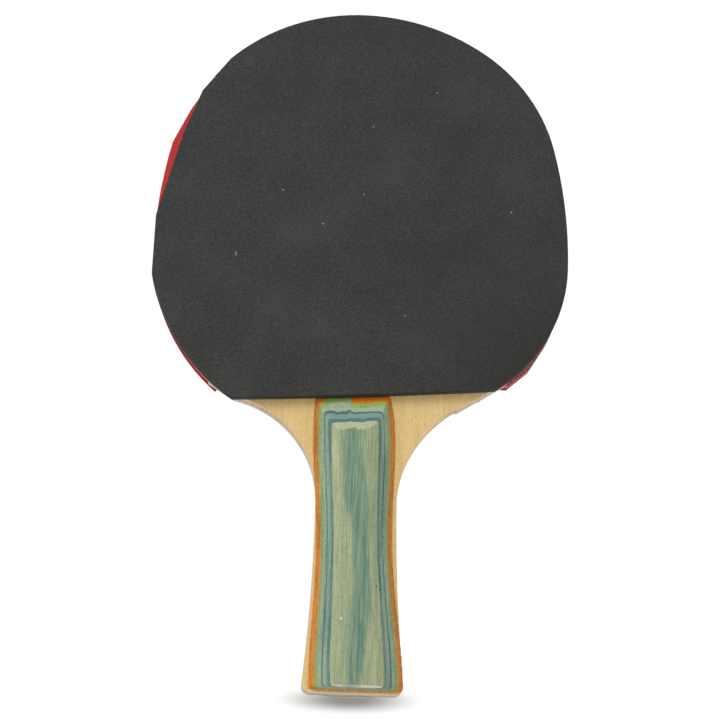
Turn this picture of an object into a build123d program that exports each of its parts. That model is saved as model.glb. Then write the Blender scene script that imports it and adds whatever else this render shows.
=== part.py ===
"""Table tennis paddle: a five-ply blade, two rubber coverings and two handle scales.

Frame, in millimetres: +Z runs up the paddle from the handle's end face (z = 0) to
the head, +X is to the right seen from the black side, and +Y runs from the black
side to the red side. The blade's middle plane is y = 0.
"""
import os

from build123d import *

# Blade, from the core outwards
CORE_PLY = 2.4
INNER_PLY = 1.4
FACE_PLY = 0.6
BLADE = CORE_PLY + 2 * (INNER_PLY + FACE_PLY)

# Rubber covering, from the blade outwards
SPONGE = 2.0
PIMPLES = 0.9
TOP_SHEET = 1.1

# Head outline: four tangent arcs a side, from the top to the lower lobe
HEAD_TOP = (0.0, 256.0)
CROWN_END = (45.0, 242.0)
CHEEK_END = (70.5, 205.0)
WIDEST = (75.5, 163.0)
LOBE_END = (39.0, 102.0)
BLADE_INSET = 2.0

# Straight knife cuts, each a run of corners with the waste on the right of the run
BLADE_CUTS = [
    [(36.0, 104.0), (59.0, 118.5)],
    [(-52.0, 111.5), (-34.0, 101.5)],
    [(-52.0, 234.0), (-66.5, 204.0), (-74.0, 178.0)],
]

# Black covering: round on the right, cut in flat facets on the left
FRONT_WIDEST = (75.5, 158.0)
FRONT_RIGHT_CORNER = (49.0, 111.0)
FRONT_LEFT_CORNER = (-45.5, 104.0)
FRONT_LOBE_MIDDLE = (-65.0, 123.5)
FRONT_FACETS = [(-76.0, 150.0), (-75.5, 172.0), (-67.0, 204.0), (-60.5, 222.0), (-50.5, 235.5)]
FRONT_EDGE_SAG = 0.5

# Red covering: cut a little larger, with a square notch at its lower left corner
REAR_OVERHANG = 0.5
REAR_EDGE_LEFT = 111.5
REAR_EDGE_RIGHT = (51.0, 115.0)
REAR_NOTCH_CORNER = (-52.5, 108.5)
REAR_NOTCH_WIDTH = 2.5
REAR_UNDERCUT = (0.3, 0.3)
REAR_CUTS = [
    [(-56.0, 233.0), (-65.0, 218.0), (-71.0, 205.0), (-76.0, 186.0)],
    [(-73.0, 141.0), (-66.0, 126.5)],
    [(54.0, 114.5), (62.5, 122.0), (72.0, 137.5)],
]

# Neck of the blade on the left and on the right: shoulder top and shoulder middle
LEFT_SHOULDER = [(-44.5, 105.5), (-25.5, 95.5)]
LEFT_SHOULDER_TIP = (-54.0, 111.5)
RIGHT_SHOULDER = [(44.5, 109.0), (27.0, 97.5)]

# Tongue, half widths at heights
WAIST = (14.3, 70.0)
FLANK_MIDDLE = (15.0, 38.0)
FLANK_END = (17.6, 3.0)
END_CORNER = 2.4

# Handle scales, lofted through (height, half width on the left, half width on the right)
SCALE_SECTIONS = [
    (-4.0, 16.5, 16.5),
    (30.0, 14.9, 14.9),
    (66.0, 13.9, 14.1),
    (90.0, 14.6, 15.4),
    (112.0, 12.4, 12.5),
]
SCALE_THICKNESS = 8.3
CREST_OFFSET = 0.2
FLANK = [(0.44, 6.3), (0.3, 4.35), (0.15, 2.2)]  # share of the half width in from the edge, height
SCALE_END = 0.8
END_ROUNDING = 0.7
BEVEL_LIP = 0.6
BEVEL_RUN = 1.9
FRONT_SCALE_TURN = 1.7
TURN_CENTRE = 34.0
SCALE_GAP = 0.05
REAR_SCALE_TOP = 105.5

# Veneers of a scale, from the blade outwards; the last one is sanded down to what is left
VENEERS = [
    ("orange_veneer", 1.9),
    ("green_veneer", 1.0),
    ("pale_teal_veneer", 1.1),
    ("dark_teal_veneer", 0.4),
    ("mid_teal_veneer", 1.1),
    ("blue_veneer", 0.8),
    ("sage_veneer", 3.0),
]

FAR = 200.0


def side_arcs(points):
    """Tangent arcs from the top of the head down one side, through the points."""
    arcs = []
    begin, heading = HEAD_TOP, (1, 0)
    for point in points:
        arcs.append(TangentArc(begin, point, tangent=heading))
        begin, heading = arcs[-1] @ 1, arcs[-1] % 1
    return arcs


def head_face(grow):
    """The head outline, enlarged by grow all round."""
    chord = Line(LOBE_END, (0, LOBE_END[1]))
    half = Curve() + side_arcs([CROWN_END, CHEEK_END, WIDEST, LOBE_END]) + [chord]
    return offset(make_face(half + mirror(half, about=Plane.YZ)), amount=grow)


def knife_cut(face, start, end):
    """The face less what lies to the right of the straight cut from start to end."""
    along = (Vector(*end) - Vector(*start)).normalized()
    outward = along.rotate(Axis.Z, -90)
    middle = (Vector(*start) + Vector(*end)) * 0.5 + outward * (FAR / 2)
    angle = Vector(1, 0).get_signed_angle(along, Vector(0, 0, 1))
    return face - Pos(middle) * Rot(0, 0, angle) * Rectangle(FAR, FAR)


def trimmed(face, runs):
    """The face after every cut along each run of corners."""
    for corners in runs:
        for start, end in zip(corners, corners[1:]):
            face = knife_cut(face, start, end)
    return face


def front_sheet_face():
    """Outline of the black covering."""
    right = side_arcs([CROWN_END, CHEEK_END, FRONT_WIDEST, FRONT_RIGHT_CORNER])
    middle = (Vector(*FRONT_RIGHT_CORNER) + Vector(*FRONT_LEFT_CORNER)) * 0.5 - Vector(0, FRONT_EDGE_SAG)
    lower_edge = ThreePointArc(FRONT_RIGHT_CORNER, middle, FRONT_LEFT_CORNER)
    lobe = ThreePointArc(FRONT_LEFT_CORNER, FRONT_LOBE_MIDDLE, FRONT_FACETS[0])
    facets = Polyline(*FRONT_FACETS)
    crown = TangentArc(HEAD_TOP, FRONT_FACETS[-1], tangent=(-1, 0))
    return make_face(Curve() + right + [lower_edge, lobe, facets, crown])


def front_edge_rise():
    """Slope of the black covering's lower edge, as rise over run."""
    right, left = FRONT_RIGHT_CORNER, FRONT_LEFT_CORNER
    return (right[1] - left[1]) / (right[0] - left[0])


def rear_sheet_face():
    """Outline of the red covering."""
    face = trimmed(head_face(REAR_OVERHANG), REAR_CUTS)
    left, low = REAR_NOTCH_CORNER
    notch = Polyline(
        (left, low),
        (left + REAR_NOTCH_WIDTH, REAR_EDGE_LEFT),
        REAR_EDGE_RIGHT,
        (FAR, REAR_EDGE_RIGHT[1]),
        (FAR, 0),
        (left, 0),
        close=True,
    )
    return face - make_face(notch)


def neck_side(shoulder, side):
    """One side of the neck and tongue, from the shoulder down to the middle of the end."""
    top, middle = shoulder
    waist = (side * WAIST[0], WAIST[1])
    flank_end = (side * FLANK_END[0], FLANK_END[1])
    curve = ThreePointArc(top, middle, waist)
    flank = ThreePointArc(waist, (side * FLANK_MIDDLE[0], FLANK_MIDDLE[1]), flank_end)
    corner = TangentArc(flank_end, (side * (FLANK_END[0] - END_CORNER), 0), tangent=flank % 1)
    return [curve, flank, corner, Line(corner @ 1, (0, 0))]


def handle_face():
    """The blade's shoulders and tongue."""
    left = neck_side(LEFT_SHOULDER, -1)
    right = neck_side(RIGHT_SHOULDER, 1)
    top = Polyline(LEFT_SHOULDER[0], LEFT_SHOULDER_TIP, RIGHT_SHOULDER[0])
    return make_face(Curve() + left + right + [top])


def blade_face():
    """The whole blade: head, shoulders and tongue in one outline."""
    return trimmed(head_face(-BLADE_INSET), BLADE_CUTS) + handle_face()


def layer(face, height, thickness):
    """A flat sheet whose near face lies height in front of the blade's middle plane."""
    return extrude(Plane.XZ.offset(height) * face, amount=thickness)


def behind(shape):
    """The same piece on the red side."""
    return mirror(shape, about=Plane.XZ)


def blade_plies():
    """Core, two inner plies and two face plies."""
    face = blade_face()
    inner = layer(face, CORE_PLY / 2, INNER_PLY)
    outer = layer(face, CORE_PLY / 2 + INNER_PLY, FACE_PLY)
    return {
        "blade_core_ply": layer(face, -CORE_PLY / 2, CORE_PLY),
        "blade_front_inner_ply": inner,
        "blade_rear_inner_ply": behind(inner),
        "blade_front_face_ply": outer,
        "blade_rear_face_ply": behind(outer),
    }


def covering(sheet, undercut=(0, 0)):
    """Sponge, pimple layer and top sheet on the black side of the blade.

    The knife leaves the two inner layers short of the sheet's edge by the undercut.
    """
    inner = sheet & Pos(*undercut) * sheet
    pimples = BLADE / 2 + SPONGE
    return {
        "sponge": layer(inner, BLADE / 2, SPONGE),
        "pimple_layer": layer(inner, pimples, PIMPLES),
        "top_sheet": layer(sheet, pimples + PIMPLES, TOP_SHEET),
    }


def scale_flank(edge):
    """Half of the rounded outside, from the crest to the edge at the base."""
    side = 1 if edge > 0 else -1
    points = [(edge * (1 - share), -rise) for share, rise in FLANK]
    return Spline((CREST_OFFSET, -SCALE_THICKNESS), *points, (edge, 0), tangents=[(side, 0), (side, 1)])


def scale_section(height, left_width, right_width):
    """Flat base, steep flanks and a low dome with its crest a little off the centre line."""
    base = Line((-left_width, 0), (right_width, 0))
    outside = [scale_flank(right_width), scale_flank(-left_width)]
    return Plane.XY.offset(height) * make_face(Curve() + [base] + outside)


def scale_blank(turn, top, rise):
    """One rounded scale on the plane y = 0: turned, bevelled at its top and cut off at its end."""
    blank = loft([scale_section(*section) for section in SCALE_SECTIONS])
    blank = Pos(0, 0, TURN_CENTRE) * Rot(0, -turn, 0) * Pos(0, 0, -TURN_CENTRE) * blank
    for reach, lip in ((0, 0), (BEVEL_RUN, BEVEL_LIP)):
        up = Vector(1, 0, rise).cross(Vector(0, -1, -reach))
        cut = Plane((0, -lip, top), z_dir=up if up.Z > 0 else -up)
        blank = split(blank, bisect_by=cut, keep=Keep.BOTTOM)
    blank = split(blank, bisect_by=Plane.XY.offset(SCALE_END), keep=Keep.TOP)
    end_arcs = blank.faces().sort_by(Axis.Z)[0].edges().filter_by(GeomType.LINE, reverse=True)
    return fillet(end_arcs, END_ROUNDING)


def veneers(blank):
    """The scale on the blade's black side, sliced into its veneers."""
    seated = Pos(0, -BLADE / 2, 0) * blank
    pieces = {}
    depth = BLADE / 2
    for name, thickness in VENEERS:
        slab = Pos(0, -depth - thickness / 2, FAR / 2) * Box(FAR, thickness, 2 * FAR)
        pieces[name] = seated & slab
        depth += thickness
    return pieces


def build():
    """Every piece of the paddle by name."""
    pieces = blade_plies()
    for name, piece in covering(front_sheet_face()).items():
        pieces["front_" + name] = piece
    for name, piece in covering(rear_sheet_face(), REAR_UNDERCUT).items():
        pieces["rear_" + name] = behind(piece)
    rise = front_edge_rise()
    front_top = FRONT_LEFT_CORNER[1] - rise * FRONT_LEFT_CORNER[0] - FRONT_EDGE_SAG - SCALE_GAP
    for name, piece in veneers(scale_blank(FRONT_SCALE_TURN, front_top, rise)).items():
        pieces["front_" + name] = piece
    for name, piece in veneers(scale_blank(0, REAR_SCALE_TOP, 0)).items():
        pieces["rear_" + name] = behind(piece)
    return pieces


os.makedirs("parts", exist_ok=True)
for name, piece in build().items():
    export_step(piece, "parts/" + name + ".step")
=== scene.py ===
"""Looks for the table tennis paddle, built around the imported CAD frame. Metres, in the frame's axes."""
import math
import random

import bmesh
import bpy
import numpy as np
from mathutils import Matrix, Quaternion, Vector, noise


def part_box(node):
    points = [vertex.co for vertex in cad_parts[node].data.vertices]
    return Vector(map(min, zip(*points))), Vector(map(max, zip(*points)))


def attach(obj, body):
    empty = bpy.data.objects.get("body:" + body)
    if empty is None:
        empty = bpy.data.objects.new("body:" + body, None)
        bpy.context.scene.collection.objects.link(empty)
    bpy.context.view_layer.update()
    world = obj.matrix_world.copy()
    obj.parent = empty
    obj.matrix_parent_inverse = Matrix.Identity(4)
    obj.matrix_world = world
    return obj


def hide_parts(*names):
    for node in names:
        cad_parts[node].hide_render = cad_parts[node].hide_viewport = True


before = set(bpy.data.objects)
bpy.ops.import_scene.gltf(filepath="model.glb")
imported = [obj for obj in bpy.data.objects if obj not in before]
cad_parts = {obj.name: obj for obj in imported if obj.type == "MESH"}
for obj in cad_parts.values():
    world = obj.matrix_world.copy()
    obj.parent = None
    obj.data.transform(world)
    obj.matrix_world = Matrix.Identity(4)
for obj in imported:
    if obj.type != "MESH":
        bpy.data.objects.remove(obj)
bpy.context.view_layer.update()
MM = 0.001

# Camera
AZIMUTH = -4.0
ELEVATION = -18.0
ROLL = 1.2
DISTANCE = 0.9
AIM = Vector((0.00025, 0.0, 0.12224))
LENS = 124.5

VENEERS = ["orange", "green", "pale_teal", "dark_teal", "mid_teal", "blue", "sage"]
SIDES = {"front": -1, "rear": 1}

# Dyed veneers as 8-bit display values: dark grain, light grain, pores, and painted light: the lit colour
# painted on faces that tilt upwards
DYES = {
    "orange": ((156, 88, 20), (206, 130, 44), (116, 62, 22), (228, 122, 14)),
    "green": ((116, 128, 80), (152, 158, 98), (92, 108, 70), (140, 176, 82)),
    "pale_teal": ((104, 134, 118), (152, 170, 142), (82, 108, 102), (160, 174, 140)),
    "dark_teal": ((62, 90, 88), (104, 124, 110), (52, 64, 66), (74, 106, 110)),
    "mid_teal": ((96, 128, 116), (142, 162, 136), (78, 104, 100), (118, 146, 136)),
    "blue": ((70, 104, 106), (114, 138, 124), (54, 80, 88), (74, 112, 118)),
}

# Flaws are scattered over a sheet by seed: how many, and their radii in millimetres
DUST_SEED = 21
DUST_COUNT = 7
DUST_RADII = (0.35, 0.5)
SCRATCH_SEED = 33
SCRATCH_RADII = (0.9, 1.1)
DENT_SEED = 8
DENT_COUNT = 4
DENT_RADII = (1.2, 1.5)
NICK_SEED = 5
NICK_RADII = (0.5, 0.6)


# ---------------------------------------------------------------- places in the frame

def place_on(node, across, up):
    """x and z, in millimetres, of a point at the given shares of a node's box seen along Y."""
    low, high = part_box(node)
    return (low.x + across * (high.x - low.x)) / MM, (low.z + up * (high.z - low.z)) / MM


def scatter(node, count, radii, seed):
    """Random x, z and radius, in millimetres, of spots within the ellipse that fills a node's box."""
    draw = random.Random(seed)
    places = []
    for _ in range(count):
        turn = draw.uniform(0, 2 * math.pi)
        reach = 0.42 * math.sqrt(draw.random())
        x, z = place_on(node, 0.5 + reach * math.cos(turn), 0.5 + reach * math.sin(turn))
        places.append((x, z, draw.uniform(*radii)))
    return places


# ---------------------------------------------------------------- shader graphs

def linear(red, green, blue):
    """Linear colour from 8-bit display values."""
    values = [c / 255 for c in (red, green, blue)]
    return tuple(v / 12.92 if v <= 0.04045 else ((v + 0.055) / 1.055) ** 2.4 for v in values) + (1,)


class Graph:
    """A material under construction: nodes are added with their inputs in one call."""

    def __init__(self, name):
        self.material = bpy.data.materials.new(name)
        self.material.use_nodes = True
        self.tree = self.material.node_tree
        self.tree.nodes.clear()
        self.output = self.tree.nodes.new("ShaderNodeOutputMaterial")

    def add(self, kind, inputs=None, **settings):
        node = self.tree.nodes.new("ShaderNode" + kind)
        for key, value in settings.items():
            setattr(node, key, value)
        for key, value in (inputs or {}).items():
            if isinstance(value, bpy.types.NodeSocket):
                self.tree.links.new(value, node.inputs[key])
            else:
                node.inputs[key].default_value = value
        return node

    def place(self, scale=(1, 1, 1), turn=(0, 0, 0)):
        """Object position in millimetres, stretched by scale."""
        coords = self.add("TexCoord").outputs["Object"]
        size = [s / MM for s in scale]
        mapping = self.add("Mapping", {"Vector": coords, "Rotation": turn, "Scale": size})
        return mapping.outputs[0]

    def axis(self, name):
        """One coordinate of the object position, in millimetres."""
        return self.add("SeparateXYZ", {0: self.place()}).outputs[name]

    def share(self, node, name):
        """One coordinate as a share of a node's box: 0 at its lowest corner and 1 at its highest."""
        low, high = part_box(node)
        index = "XYZ".index(name)
        inputs = {"Value": self.axis(name), "From Min": low[index] / MM, "From Max": high[index] / MM}
        return self.add("MapRange", inputs, clamp=False).outputs["Result"]

    def noise(self, scale, stretch=(1, 1, 1), detail=3.0, roughness=0.55, distortion=0.0):
        inputs = {
            "Vector": self.place(stretch),
            "Scale": scale,
            "Detail": detail,
            "Roughness": roughness,
            "Distortion": distortion,
        }
        return self.add("TexNoise", inputs).outputs["Fac"]

    def math(self, operation, first, second=0.0, clamp=False):
        node = self.add("Math", {0: first, 1: second}, operation=operation, use_clamp=clamp)
        return node.outputs[0]

    def ramp(self, value, low, high, start=0.0, end=1.0):
        """value from low..high mapped smoothly to start..end."""
        inputs = {"Value": value, "From Min": low, "From Max": high, "To Min": start, "To Max": end}
        return self.add("MapRange", inputs, interpolation_type="SMOOTHSTEP").outputs["Result"]

    def mix(self, factor, first, second, blend="MIX"):
        node = self.add("Mix", data_type="RGBA", blend_type=blend)
        for socket, value in ((0, factor), (6, first), (7, second)):
            if isinstance(value, bpy.types.NodeSocket):
                self.tree.links.new(value, node.inputs[socket])
            else:
                node.inputs[socket].default_value = value
        return node.outputs[2]

    def spot(self, x, z, radius, stretch=1.0, soft=0.5):
        """Mask of one round spot seen along Y, drawn out across by stretch."""
        inputs = {0: self.place((1 / stretch, 0, 1)), 1: (x / stretch, 0, z)}
        shifted = self.add("VectorMath", inputs, operation="SUBTRACT")
        away = self.add("VectorMath", {0: shifted.outputs[0]}, operation="LENGTH").outputs["Value"]
        return self.ramp(away, radius * (1 - soft), radius, 1.0, 0.0)

    def spots(self, places, **settings):
        """Mask of several spots."""
        mask = self.spot(*places[0], **settings)
        for place in places[1:]:
            mask = self.math("MAXIMUM", mask, self.spot(*place, **settings))
        return mask

    def bump(self, height, depth, normal=None):
        """Bump whose height runs over depth, in millimetres."""
        inputs = {"Height": height, "Distance": depth * MM, "Strength": 1.0}
        if normal is not None:
            inputs["Normal"] = normal
        return self.add("Bump", inputs).outputs[0]

    def finish(self, colour, roughness, normal, specular=0.4, sheen=0.0):
        inputs = {
            "Base Color": colour,
            "Roughness": roughness,
            "Normal": normal,
            "Specular IOR Level": specular,
            "Sheen Weight": sheen,
        }
        surface = self.add("BsdfPrincipled", inputs)
        self.tree.links.new(surface.outputs[0], self.output.inputs["Surface"])
        return self.material


# ---------------------------------------------------------------- materials

def specks(graph, spacing, radius, share):
    """Mask of small round specks: one may sit in each cell, and share of the cells have one."""
    inputs = {"Vector": graph.place(), "Scale": 1 / spacing, "Randomness": 1.0}
    cells = graph.add("TexVoronoi", inputs)
    chance = graph.add("SeparateColor", {0: cells.outputs["Color"]}).outputs[0]
    near = graph.ramp(cells.outputs["Distance"], radius / spacing * 0.5, radius / spacing, 1.0, 0.0)
    chosen = graph.math("LESS_THAN", chance, share)
    return graph.math("MULTIPLY", near, chosen)


def black_flaws_and_shade(g, node, colour, normal, dust):
    """Painted shade darkening the lower corner, specks of dust, one scratch, and shallow dents with painted
    shade in them, on the playing side.
    """
    # Painted shade: the black goes darker towards the lower corner, away from the key light.
    corner = g.spot(*place_on(node, 1.0, 0.05), 80, soft=1.0)
    colour = g.mix(g.math("MULTIPLY", corner, 0.5), colour, linear(34, 33, 31))
    low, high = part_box(node)
    outside = g.math("LESS_THAN", g.axis("Y"), low.y / MM + 0.2)
    specks_of_dust = g.spots(scatter(node, DUST_COUNT, DUST_RADII, DUST_SEED), soft=0.7)
    scratch = g.spots(scatter(node, 1, SCRATCH_RADII, SCRATCH_SEED), stretch=0.3)
    marks = g.math("MULTIPLY", g.math("MAXIMUM", specks_of_dust, scratch), 0.75)
    colour = g.mix(g.math("MULTIPLY", marks, outside), colour, dust)
    hollow = g.math("MULTIPLY", g.spots(scatter(node, DENT_COUNT, DENT_RADII, DENT_SEED), soft=0.9), outside)
    # Painted shade in the dents: their colour is darkened as well as bumped.
    colour = g.mix(g.math("MULTIPLY", hollow, 0.3), colour, linear(34, 34, 32))
    return colour, g.bump(g.math("SUBTRACT", 1.0, hollow), 0.35, normal)


def rubber(name, node, dark, light, dust, dust_share):
    """Matt rubber top sheet: fine mottling, soft scuffs and a few specks of dust."""
    g = Graph(name)
    grain = g.noise(1.5, detail=2.0, roughness=0.7)
    cloud = g.noise(0.045, detail=3.0, roughness=0.5)
    tone = g.math("ADD", g.math("MULTIPLY", grain, 0.65), g.math("MULTIPLY", cloud, 0.35))
    colour = g.mix(g.ramp(tone, 0.38, 0.64), dark, light)
    scuff = g.ramp(g.noise(0.12, (1, 1, 0.35), detail=6.0, roughness=0.75), 0.66, 0.8)
    colour = g.mix(g.math("MULTIPLY", scuff, 0.14), colour, dust)
    colour = g.mix(g.math("MULTIPLY", specks(g, 9.0, 0.3, dust_share), 0.6), colour, dust)
    normal = g.bump(grain, 0.05)
    normal = g.bump(cloud, 0.6, normal)
    if node.startswith("front"):
        colour, normal = black_flaws_and_shade(g, node, colour, normal, dust)
    else:
        # Painted shade: the red goes darker and browner towards one lower corner.
        shaded_corner = g.spot(*place_on(node, 0.9, 0.07), 26, soft=0.8)
        colour = g.mix(g.math("MULTIPLY", shaded_corner, 0.6), colour, linear(132, 66, 60))
    roughness = g.ramp(cloud, 0.35, 0.65, 0.74, 0.86)
    return g.finish(colour, roughness, normal, specular=0.22, sheen=0.04)


def glue_colour(g, light):
    """Glue side of the red covering: red above, clean below on the left, brown wood fibres on the right."""
    upper = g.ramp(g.share("rear_sponge", "Z"), 0.22, 0.34)
    fibres = g.ramp(g.noise(1.0, (1.2, 1.2, 1.2), detail=3.0), 0.4, 0.6)
    brown = g.mix(fibres, linear(136, 66, 60), linear(172, 118, 92))
    colour = g.mix(upper, light, linear(184, 52, 52))
    return g.mix(g.ramp(g.share("rear_sponge", "X"), 0.7, 0.8), colour, brown)


def foam(name, dark, light, facing=0):
    """Open sponge: small pores all over its cut edge. facing is the way its glue side looks, along Y."""
    g = Graph(name)
    pores = g.add("TexVoronoi", {"Vector": g.place(), "Scale": 2.4, "Randomness": 1.0})
    depth = g.ramp(pores.outputs["Distance"], 0.05, 0.55)
    colour = g.mix(depth, dark, light)
    colour = g.mix(g.math("MULTIPLY", g.noise(0.3, detail=3.0), 0.35), colour, dark)
    if facing:
        normal_y = g.add("SeparateXYZ", {0: g.add("NewGeometry").outputs["True Normal"]}).outputs["Y"]
        inner = g.math("GREATER_THAN", g.math("MULTIPLY", normal_y, facing), 0.7)
        colour = g.mix(g.math("MULTIPLY", inner, 0.92), colour, glue_colour(g, light))
    return g.finish(colour, 0.95, g.bump(depth, 0.12), specular=0.15)


def wood(name, dark, light, pore, streak=1.0, crest=None, painted_light=None):
    """Sanded wood with its grain up the paddle.

    crest adds a second dye on the outermost wood, with a painted highlight; the last argument is painted
    light, a lit colour painted on faces that tilt upwards towards the lamp.
    """
    g = Graph(name)
    fine = g.noise(1.0, (2.6, 2.6, 0.09), detail=4.0, roughness=0.65, distortion=0.4)
    broad = g.noise(1.0, (0.34, 0.34, 0.02), detail=3.0, roughness=0.55, distortion=0.8)
    mottle = g.noise(0.9, detail=3.0, roughness=0.6)
    tone = g.math("ADD", g.math("MULTIPLY", fine, 0.5 * streak), g.math("MULTIPLY", broad, 0.5 * streak))
    tone = g.math("ADD", tone, g.math("MULTIPLY", mottle, 0.3))
    middle = 0.5 * streak + 0.15
    spread = 0.1 * streak + 0.04
    colour = g.mix(g.ramp(tone, middle - spread, middle + spread), dark, light)
    if painted_light is not None:
        # Painted light: faces that tilt upwards, towards the key light, take a lit colour in patches.
        tilt = g.add("SeparateXYZ", {0: g.add("NewGeometry").outputs["Normal"]}).outputs["Z"]
        cut = g.math("MULTIPLY", g.ramp(tilt, 0.2, 0.36), g.ramp(mottle, 0.25, 0.6, 0.55, 0.9))
        colour = g.mix(cut, colour, painted_light)
    if crest is not None:
        colour = crest(g, colour)
    pores = g.ramp(g.noise(1.0, (3.5, 3.5, 0.35), detail=2.0, roughness=0.5), 0.64, 0.72)
    colour = g.mix(g.math("MULTIPLY", pores, 0.4), colour, pore)
    roughness = g.ramp(fine, 0.3, 0.7, 0.5, 0.68)
    normal = g.bump(fine, 0.06)
    normal = g.bump(g.math("SUBTRACT", 1.0, pores), 0.05, normal)
    return g.finish(colour, roughness, normal, specular=0.3)


def teal_crest(side):
    """Dye of the outermost veneer: a streaky teal band along the crest, with nicks, and a painted highlight
    on faces that look downwards.
    """
    node = side + "_sage_veneer"

    def paint(g, colour):
        up = g.share(node, "Z")
        patches = g.noise(1.0, (0.12, 0.12, 0.03), detail=3.0, roughness=0.6)
        streaks = g.noise(1.0, (1.7, 1.7, 0.05), detail=5.0, roughness=0.75, distortion=0.5)
        rise = g.ramp(up, 0.04, 0.43, -0.6, 1.6)
        lean = g.ramp(up, 0.51, 0.87, 0.0, 3.8)
        centre = g.math("SUBTRACT", rise, lean)
        away = g.math("ABSOLUTE", g.math("SUBTRACT", g.axis("X"), centre))
        narrow = g.ramp(up, 0.57, 0.83, 5.0, 7.2)
        level = g.math("SUBTRACT", 1.0, g.math("DIVIDE", away, narrow))
        level = g.math("ADD", level, g.math("MULTIPLY", g.math("SUBTRACT", streaks, 0.5), 1.5))
        level = g.math("ADD", level, g.math("MULTIPLY", g.math("SUBTRACT", patches, 0.5), 1.6))
        top = g.ramp(g.math("ADD", up, g.math("MULTIPLY", streaks, 0.04)), 0.975, 1.0, 0.0, 1.2)
        band = g.ramp(g.math("SUBTRACT", level, top), 0.22, 0.62)
        teal = g.mix(g.ramp(streaks, 0.38, 0.62), linear(72, 110, 100), linear(116, 146, 122))
        colour = g.mix(g.math("MULTIPLY", band, 0.9), colour, teal)
        pale = g.ramp(g.noise(1.0, (0.9, 0.9, 0.16), detail=4.0, roughness=0.7), 0.6, 0.72)
        colour = g.mix(g.math("MULTIPLY", pale, 0.4), colour, linear(192, 192, 154))
        comb = g.noise(1.0, (3.4, 3.4, 0.05), detail=2.0, roughness=0.6)
        colour = g.mix(g.ramp(comb, 0.54, 0.68, 0.0, 0.4), colour, linear(188, 192, 154))
        colour = g.mix(g.ramp(comb, 0.34, 0.46, 0.45, 0.0), colour, linear(98, 120, 100))
        tilt = g.add("SeparateXYZ", {0: g.add("NewGeometry").outputs["Normal"]}).outputs["Z"]
        # Painted highlight: pale colour in patches on faces that look downwards, at the rounded end of the
        # handle.
        painted_highlight = g.math("MULTIPLY", g.ramp(tilt, -0.3, -0.6), g.ramp(patches, 0.35, 0.55, 0.3, 0.85))
        colour = g.mix(painted_highlight, colour, linear(228, 216, 202))
        pale_nick, dark_nick = scatter(node, 2, NICK_RADII, NICK_SEED)
        colour = g.mix(g.spot(*pale_nick, stretch=0.5), colour, linear(236, 232, 214))
        colour = g.mix(g.spot(*dark_nick, stretch=0.7), colour, linear(96, 92, 70))
        return colour
    return paint


def make_materials():
    """All the object's materials by name."""
    black = (linear(42, 42, 41), linear(62, 62, 60), linear(150, 148, 140))
    red = (linear(158, 34, 36), linear(184, 48, 48), linear(222, 150, 145))
    face = (linear(208, 176, 116), linear(222, 192, 132), linear(188, 152, 96))
    inner = (linear(206, 184, 160), linear(228, 210, 188), linear(176, 150, 126))
    core = (linear(172, 156, 136), linear(202, 186, 160), linear(140, 122, 104))
    table = {
        "black_rubber": rubber("black_rubber", "front_top_sheet", *black, 0.12),
        "red_rubber": rubber("red_rubber", "rear_top_sheet", *red, 0.1),
        "black_pimples": foam("black_pimples", linear(36, 36, 35), linear(62, 62, 60)),
        "red_pimples": foam("red_pimples", linear(110, 18, 22), linear(160, 38, 40)),
        "dark_sponge": foam("dark_sponge", linear(50, 50, 49), linear(76, 76, 74)),
        "pink_sponge": foam("pink_sponge", linear(196, 72, 72), linear(228, 116, 114), -1),
        "face_wood": wood("face_wood", *face, 0.6),
        "inner_wood": wood("inner_wood", *inner, 0.7),
        "core_wood": wood("core_wood", *core, 0.9),
    }
    for dye, shades in DYES.items():
        dark, light, pore, painted_light = [linear(*shade) for shade in shades]
        table[dye + "_veneer"] = wood(dye + "_veneer", dark, light, pore, painted_light=painted_light)
    for side in SIDES:
        name = side + "_sage_veneer"
        shades = (linear(132, 148, 112), linear(166, 172, 132), linear(108, 122, 94))
        table[name] = wood(name, *shades, crest=teal_crest(side), painted_light=linear(180, 184, 146))
    return table


# ---------------------------------------------------------------- mesh helpers

def new_piece(name, mesh, material, slot, *nodes):
    """A piece that rides on the paddle's one body and stands for the given CAD nodes."""
    piece = bpy.data.objects.new(name, mesh)
    bpy.context.scene.collection.objects.link(piece)
    mesh.materials.clear()
    mesh.materials.append(material)
    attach(piece, "root")
    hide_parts(*nodes)


def shade_smooth(mesh, angle=35):
    """Smooth shading with sharp edges kept."""
    mesh.shade_smooth()
    mesh.set_sharp_from_angle(angle=math.radians(angle))


def dress_cad(node, material, bevel=0.08):
    """A CAD node keeps its shape and gets its material, with its cut edges a little softened."""
    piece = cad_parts[node]
    piece.data.materials.clear()
    piece.data.materials.append(material)
    weld = piece.modifiers.new("weld", "WELD")
    weld.merge_threshold = 0.002 * MM
    soften = piece.modifiers.new("soften", "BEVEL")
    soften.width = bevel * MM
    soften.segments = 2
    soften.limit_method = "ANGLE"
    soften.angle_limit = math.radians(50)
    soften.harden_normals = True


# ---------------------------------------------------------------- pimples

PIMPLE_PITCH = 2.1 * MM
PIMPLE_RADII = [0.92, 0.72, 0.68]  # millimetres: root, stem and tip
PIMPLE_LEVELS = [0.0, 0.3, 1.0]  # the same, as shares of the height from the top sheet
PIMPLE_SIDES = 8


def outline_segments(node, side):
    """Segments of a flat node's outline, from its outer face, as rows of x0, z0, x1, z1."""
    mesh = bmesh.new()
    mesh.from_mesh(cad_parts[node].data)
    bmesh.ops.remove_doubles(mesh, verts=mesh.verts, dist=0.002 * MM)
    segments = []
    for edge in mesh.edges:
        facing = [f for f in edge.link_faces if f.normal.y * side > 0.9]
        if len(facing) == 1:
            a, b = (v.co for v in edge.verts)
            segments.append((a.x, a.z, b.x, b.z))
    mesh.free()
    return np.array(segments)


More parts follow.
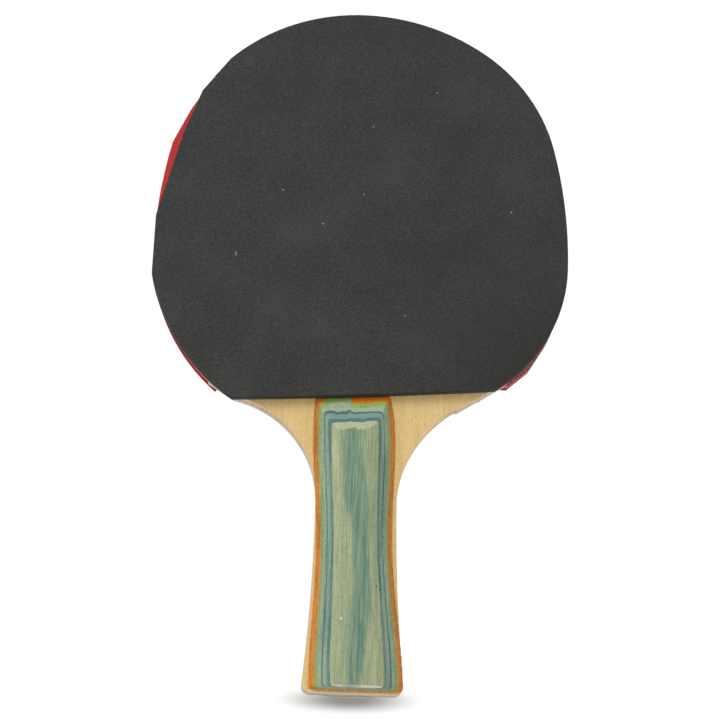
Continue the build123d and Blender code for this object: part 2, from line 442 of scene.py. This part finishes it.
def nearest(points, segments):
    """For each point: whether it is inside the outline, its gap to it and the nearest outline point."""
    px, pz = points[:, :1], points[:, 1:]
    x0, z0, x1, z1 = segments.T
    crosses = (z0 > pz) != (z1 > pz)
    at = x0 + (pz - z0) * (x1 - x0) / np.where(z1 == z0, 1e-12, z1 - z0)
    odd = (crosses & (px < at)).sum(1) % 2 == 1
    length = (x1 - x0) ** 2 + (z1 - z0) ** 2
    along = np.clip(((px - x0) * (x1 - x0) + (pz - z0) * (z1 - z0)) / length, 0, 1)
    near_x, near_z = x0 + along * (x1 - x0), z0 + along * (z1 - z0)
    gaps = np.hypot(px - near_x, pz - near_z)
    best = gaps.argmin(1)
    rows = np.arange(len(points))
    return odd, gaps[rows, best], np.stack([near_x[rows, best], near_z[rows, best]], 1)


def hexagonal_grid(low, high, pitch):
    """Points of a hexagonal lattice over a box in x and z."""
    rows = np.arange(low[1], high[1], pitch * math.sqrt(3) / 2)
    points = []
    for i, z in enumerate(rows):
        shift = pitch / 2 if i % 2 else 0
        points += [(x, z) for x in np.arange(low[0] + shift, high[0], pitch)]
    return np.array(points)


def pimple_field(node, side):
    """Mesh of every pimple under one top sheet."""
    low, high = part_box(node)
    grid = hexagonal_grid((low.x, low.z), (high.x, high.z), PIMPLE_PITCH)
    segments = outline_segments(node, side)
    held, gap, _ = nearest(grid, segments)
    centres = grid[held & (gap > 0.3 * MM)]
    root, tip = (low.y, high.y) if side < 0 else (high.y, low.y)
    turn = np.arange(PIMPLE_SIDES) * 2 * math.pi / PIMPLE_SIDES
    rings = []
    for radius, level in zip(PIMPLE_RADII, PIMPLE_LEVELS):
        y = np.full(PIMPLE_SIDES, root + (tip - root) * level)
        rings.append(np.stack([radius * MM * np.cos(turn), y, radius * MM * np.sin(turn)], 1))
    template = np.concatenate(rings)
    offsets = np.stack([centres[:, 0], np.zeros(len(centres)), centres[:, 1]], 1)
    vertices = (offsets[:, None] + template[None]).reshape(-1, 3)
    held, gap, rim = nearest(vertices[:, (0, 2)], segments)
    cut = np.where((~held & (gap > 0))[:, None], rim, vertices[:, (0, 2)])
    vertices[:, 0], vertices[:, 2] = cut[:, 0], cut[:, 1]
    walls = []
    for ring in range(len(rings) - 1):
        for k in range(PIMPLE_SIDES):
            a, b = ring * PIMPLE_SIDES + k, ring * PIMPLE_SIDES + (k + 1) % PIMPLE_SIDES
            walls.append((a, b, b + PIMPLE_SIDES, a + PIMPLE_SIDES))
    caps = [tuple(reversed(range(PIMPLE_SIDES))), tuple(range(len(template) - PIMPLE_SIDES, len(template)))]
    faces = []
    for i in range(len(centres)):
        base = i * len(template)
        faces += [tuple(base + v for v in face) for face in walls + caps]
    mesh = bpy.data.meshes.new(node)
    mesh.from_pydata(vertices.tolist(), [], faces)
    recalculate(mesh)
    shade_smooth(mesh)
    return mesh


def recalculate(mesh):
    """Face normals pointing outwards."""
    shell = bmesh.new()
    shell.from_mesh(mesh)
    bmesh.ops.recalc_face_normals(shell, faces=shell.faces)
    shell.to_mesh(mesh)
    shell.free()


# ---------------------------------------------------------------- handle scales

VOXEL = 0.35 * MM
DEEPEST_SHIFT = 4.4  # millimetres above the blade up to which sanding through shifts the joints
WORN_ROUNDS = 14  # rounds of smoothing that wear the blank's corners
SANDED_DEPTH = 2.15  # millimetres by which the window on the front bevel is sanded too deep
WINDOW_LEFT = (0.08, 0.18)  # where the window begins and is full, as shares of the scale's width
WINDOW_RIGHT = (0.39, 0.41)  # where it starts to end and is gone


def fused_blank(side):
    """The CAD veneers of one scale fused into an even shell of small faces."""
    shell = bmesh.new()
    for veneer in VENEERS:
        shell.from_mesh(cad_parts[f"{side}_{veneer}_veneer"].data)
    mesh = bpy.data.meshes.new(side + "_blank")
    shell.to_mesh(mesh)
    shell.free()
    blank = bpy.data.objects.new(side + "_blank", mesh)
    bpy.context.scene.collection.objects.link(blank)
    remesh = blank.modifiers.new("remesh", "REMESH")
    remesh.mode = "VOXEL"
    remesh.voxel_size = VOXEL
    graph = bpy.context.evaluated_depsgraph_get()
    result = bpy.data.meshes.new_from_object(blank.evaluated_get(graph))
    bpy.data.objects.remove(blank)
    return result


def get_points(mesh):
    """Every vertex of a mesh as one array, in metres."""
    flat = np.empty(len(mesh.vertices) * 3)
    mesh.vertices.foreach_get("co", flat)
    return flat.reshape(-1, 3)


def set_points(mesh, points):
    """Moves every vertex of a mesh to the given points."""
    mesh.vertices.foreach_set("co", points.ravel())
    mesh.update()


def noise_at(points, across, along, seed):
    """Smooth noise at each point, with its grain drawn out along Z. Lengths in metres."""
    places = np.stack([points[:, 0] / across, np.full(len(points), seed), points[:, 2] / along], 1)
    return np.array([noise.noise(Vector(place)) for place in places])


def smoothstep(value, low, high):
    """0 below low, 1 above high and a smooth rise between them."""
    t = np.clip((value - low) / (high - low), 0, 1)
    return t * t * (3 - 2 * t)


def wear(mesh, side, base):
    """Rounds the corners of the blank away from the blade and leaves its surface slightly uneven."""
    points = get_points(mesh)
    height = np.abs(points[:, 1] - base)
    hold = smoothstep(height, 0.5 * MM, 1.8 * MM)[:, None]
    edges = np.empty(len(mesh.edges) * 2, dtype=int)
    mesh.edges.foreach_get("vertices", edges)
    a, b = edges.reshape(-1, 2).T
    count = np.bincount(np.concatenate([a, b]), minlength=len(points))[:, None]
    for _ in range(WORN_ROUNDS):
        total = np.stack([np.bincount(a, points[b, k], len(points)) for k in range(3)], 1)
        total += np.stack([np.bincount(b, points[a, k], len(points)) for k in range(3)], 1)
        points += 0.5 * hold * (total / count - points)
    seed = 3.1 * SIDES[side]
    uneven = 0.1 * noise_at(points, 5 * MM, 12 * MM, seed)
    uneven += 0.04 * noise_at(points, 1.6 * MM, 5 * MM, seed + 5)
    points[:, 1] += SIDES[side] * uneven * MM * hold[:, 0]
    set_points(mesh, points)


def waviness(points, side, top):
    """How far out every veneer joint lies from its nominal height at each point, in metres."""
    seed = 7.7 + SIDES[side]
    near_top = smoothstep(points[:, 2], top - 16 * MM, top - 10 * MM)
    waves = 0.17 * noise_at(points, 7 * MM, 15 * MM, seed)
    waves += 0.09 * noise_at(points, 1.9 * MM, 8 * MM, seed + 2)
    return (waves + 0.3 * near_top * noise_at(points, 2.4 * MM, 4 * MM, seed + 4)) * MM


def sanded_through(points, side, top):
    """How much lower, in metres, the lowest joints lie where the front bevel was sanded too deep."""
    if side != "front":
        return np.zeros(len(points))
    low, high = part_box(side + "_orange_veneer")
    across = (points[:, 0] - low.x) / (high.x - low.x)
    near_top = smoothstep(points[:, 2], top - 12 * MM, top - 8 * MM)
    window = smoothstep(across, *WINDOW_LEFT) * (1 - smoothstep(across, *WINDOW_RIGHT))
    return SANDED_DEPTH * MM * near_top * window


def warp(points, side, base, top, back=False):
    """Moves points so that the uneven joints become flat at their nominal heights, or back again."""
    sign = SIDES[side]
    height = (points[:, 1] - base) * sign
    waves = waviness(points, side, top)
    depth = sanded_through(points, side, top)
    limit = DEEPEST_SHIFT * MM
    slope = 1 - depth / limit
    if back:
        height = height + waves
        height = np.where(height < limit, (height - depth) / slope, height)
    else:
        height = np.where(height < limit, height * slope + depth, height) - waves
    result = points.copy()
    result[:, 1] = base + sign * height
    return result


def slab(blank, levels, side):
    """The part of the warped blank between two heights across Y, capped and closed."""
    mesh = bmesh.new()
    mesh.from_mesh(blank)
    for level, direction in levels:
        whole = mesh.verts[:] + mesh.edges[:] + mesh.faces[:]
        cut = bmesh.ops.bisect_plane(
            mesh, geom=whole, plane_co=(0, level, 0), plane_no=(0, direction, 0), clear_outer=True
        )
        rim = [e for e in cut["geom_cut"] if isinstance(e, bmesh.types.BMEdge)]
        bmesh.ops.holes_fill(mesh, edges=rim, sides=0)
    large = [f for f in mesh.faces if len(f.verts) > 4]
    bmesh.ops.triangulate(mesh, faces=large)
    bmesh.ops.recalc_face_normals(mesh, faces=mesh.faces)
    return mesh


def build_scale(side, materials):
    """Seven veneer pieces cut from one worn blank."""
    sign = SIDES[side]
    low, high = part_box(side + "_orange_veneer")
    base = high.y if sign < 0 else low.y
    top = high.z
    blank = fused_blank(side)
    wear(blank, side, base)
    set_points(blank, warp(get_points(blank), side, base, top))
    for veneer in VENEERS:
        node = f"{side}_{veneer}_veneer"
        low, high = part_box(node)
        inner, outer = (high.y, low.y) if sign < 0 else (low.y, high.y)
        levels = []
        if veneer != "orange":
            levels.append((inner, -sign))
        if veneer != "sage":
            levels.append((outer, sign))
        cut = slab(blank, levels, side)
        mesh = bpy.data.meshes.new(node + "_sanded")
        cut.to_mesh(mesh)
        cut.free()
        set_points(mesh, warp(get_points(mesh), side, base, top, back=True))
        shade_smooth(mesh, 50)
        key = node if veneer == "sage" else veneer + "_veneer"
        new_piece(node + "_sanded", mesh, materials[key], veneer + "_veneer", node)
    bpy.data.meshes.remove(blank)


# ---------------------------------------------------------------- stage

FLOOR_SIZE = 1.6
FLOOR_COLOUR = (0.86, 0.86, 0.86, 1)
FLOOR_FADE = (320, 640)  # millimetres from the paddle at which the floor starts to fade and is gone
SHADE_SIZE = (57 * MM, 13 * MM)
SHADE_PLACE = (0.0, 14 * MM, 0.6 * MM)
SHADE_STRENGTH = 0.74
SHADE_LIGHT = (1.02, 1.02, 1.02, 1)
SHADE_DARK = (0.04, 0.03, 0.0, 1)
WORLD_LIGHT = 0.85
WORLD_SEEN = 1.04
LIGHT_TARGET = (0, 0, 0.13)

def see_through(g, paint, hidden):
    """Finishes a stage material: the paint, and nothing at all where hidden is 1."""
    clear = g.add("BsdfTransparent").outputs[0]
    surface = g.add("MixShader", {0: hidden, 1: paint, 2: clear}).outputs[0]
    g.tree.links.new(surface, g.output.inputs["Surface"])
    return g.material


def floor_material():
    """Pale floor that a camera sees only from above, fading out away from the paddle."""
    g = Graph("pale_floor")
    paint = g.add("BsdfDiffuse", {"Color": FLOOR_COLOUR}).outputs[0]
    flat = g.add("VectorMath", {0: g.place((1, 1, 0))}, operation="LENGTH").outputs["Value"]
    fade = g.ramp(flat, *FLOOR_FADE)
    hidden = g.math("MAXIMUM", g.add("NewGeometry").outputs["Backfacing"], fade)
    seen = g.add("LightPath").outputs["Is Camera Ray"]
    return see_through(g, paint, g.math("MAXIMUM", hidden, g.math("SUBTRACT", 1.0, seen)))


def shade_material():
    """Painted soft shade that only a camera below the floor sees."""
    g = Graph("contact_shade")
    centred = {0: g.add("TexCoord").outputs["Generated"], 1: (0.5, 0.5, 0.5)}
    spot = g.add("VectorMath", centred, operation="SUBTRACT").outputs[0]
    across = g.add("VectorMath", {0: spot}, operation="LENGTH").outputs["Value"]
    shade = g.ramp(across, 0.06, 0.5, SHADE_STRENGTH, 0.0)
    grey = g.mix(shade, SHADE_LIGHT, SHADE_DARK)
    paint = g.add("Emission", {"Color": grey}).outputs[0]
    towards = g.add("SeparateXYZ", {0: g.add("NewGeometry").outputs["Incoming"]}).outputs["Z"]
    above = g.math("GREATER_THAN", towards, 0.0)
    camera = g.add("LightPath").outputs["Is Camera Ray"]
    rim = g.math("GREATER_THAN", across, 0.499)
    hidden = g.math("MAXIMUM", g.math("MAXIMUM", above, rim), g.math("SUBTRACT", 1.0, camera))
    return see_through(g, paint, hidden)


def flat_card(name, width, depth, location, rotation, material):
    """A single rectangular stage plane."""
    mesh = bpy.data.meshes.new(name)
    x, y = width / 2, depth / 2
    mesh.from_pydata([(-x, -y, 0), (x, -y, 0), (x, y, 0), (-x, y, 0)], [], [(0, 1, 2, 3)])
    card = bpy.data.objects.new(name, mesh)
    card.location = location
    card.rotation_euler = rotation
    mesh.materials.append(material)
    bpy.context.scene.collection.objects.link(card)
    return card


def build_stage():
    """Pale floor, and the soft contact shade under the end of the handle."""
    flat_card("floor", FLOOR_SIZE, FLOOR_SIZE, (0, 0, 0), (0, 0, 0), floor_material())
    tilt = (math.radians(90 + ELEVATION), 0, math.radians(AZIMUTH))
    shade = flat_card("contact_shade", *SHADE_SIZE, SHADE_PLACE, tilt, shade_material())
    shade.visible_shadow = False


def area_light(name, location, target, size, power):
    """A soft white square light aimed at a point."""
    data = bpy.data.lights.new(name, "AREA")
    data.size = size
    data.energy = power
    light = bpy.data.objects.new(name, data)
    light.location = location
    light.rotation_mode = "QUATERNION"
    light.rotation_quaternion = (Vector(target) - Vector(location)).to_track_quat("-Z", "Y")
    bpy.context.scene.collection.objects.link(light)


def build_lights():
    """White surroundings, a key from the upper left of the black side and a weak light behind."""
    scene = bpy.context.scene
    world = bpy.data.worlds.new("white_room")
    scene.world = world
    world.use_nodes = True
    tree = world.node_tree
    tree.nodes.clear()
    seen = tree.nodes.new("ShaderNodeLightPath").outputs["Is Camera Ray"]
    strength = tree.nodes.new("ShaderNodeMapRange")
    strength.inputs["To Min"].default_value = WORLD_LIGHT
    strength.inputs["To Max"].default_value = WORLD_SEEN
    tree.links.new(seen, strength.inputs["Value"])
    background = tree.nodes.new("ShaderNodeBackground")
    background.inputs["Color"].default_value = (1, 1, 1, 1)
    tree.links.new(strength.outputs["Result"], background.inputs["Strength"])
    output = tree.nodes.new("ShaderNodeOutputWorld")
    tree.links.new(background.outputs[0], output.inputs["Surface"])
    area_light("key", (-0.75, -0.85, 0.75), LIGHT_TARGET, 0.6, 6.5)
    area_light("back_fill", (0.6, 0.9, 0.7), LIGHT_TARGET, 0.8, 6.0)


def build_camera():
    """Camera below and in front of the paddle, turned a little on its axis."""
    azimuth, elevation = math.radians(AZIMUTH), math.radians(ELEVATION)
    back = Vector(
        (
            math.sin(azimuth) * math.cos(elevation),
            -math.cos(azimuth) * math.cos(elevation),
            math.sin(elevation),
        )
    )
    data = bpy.data.cameras.new("camera")
    data.lens = LENS
    data.sensor_width = 36.0
    camera = bpy.data.objects.new("camera", data)
    camera.location = AIM + back * DISTANCE
    camera.rotation_mode = "QUATERNION"
    level = (-back).to_track_quat("-Z", "Y")
    camera.rotation_quaternion = level @ Quaternion((0, 0, 1), math.radians(ROLL))
    data.clip_start = 0.05
    data.clip_end = 10.0
    bpy.context.scene.collection.objects.link(camera)
    bpy.context.scene.camera = camera


# ---------------------------------------------------------------- the paddle

def build_blade(materials):
    """Five plies."""
    dress_cad("blade_core_ply", materials["core_wood"])
    for side in SIDES:
        dress_cad(f"blade_{side}_inner_ply", materials["inner_wood"])
        dress_cad(f"blade_{side}_face_ply", materials["face_wood"], 0.14)


def build_covering(side, colour, sponge, materials):
    """Top sheet, pimples and sponge of one side."""
    dress_cad(side + "_top_sheet", materials[colour + "_rubber"], 0.12)
    dress_cad(side + "_sponge", materials[sponge])
    node = side + "_pimple_layer"
    mesh = pimple_field(node, SIDES[side])
    new_piece(side + "_pimples", mesh, materials[colour + "_pimples"], colour + "_rubber", node)


materials = make_materials()
build_blade(materials)
build_covering("front", "black", "dark_sponge", materials)
build_covering("rear", "red", "pink_sponge", materials)
for side in SIDES:
    build_scale(side, materials)
build_stage()
build_lights()
build_camera()
bpy.context.scene.view_settings.view_transform = "Standard"
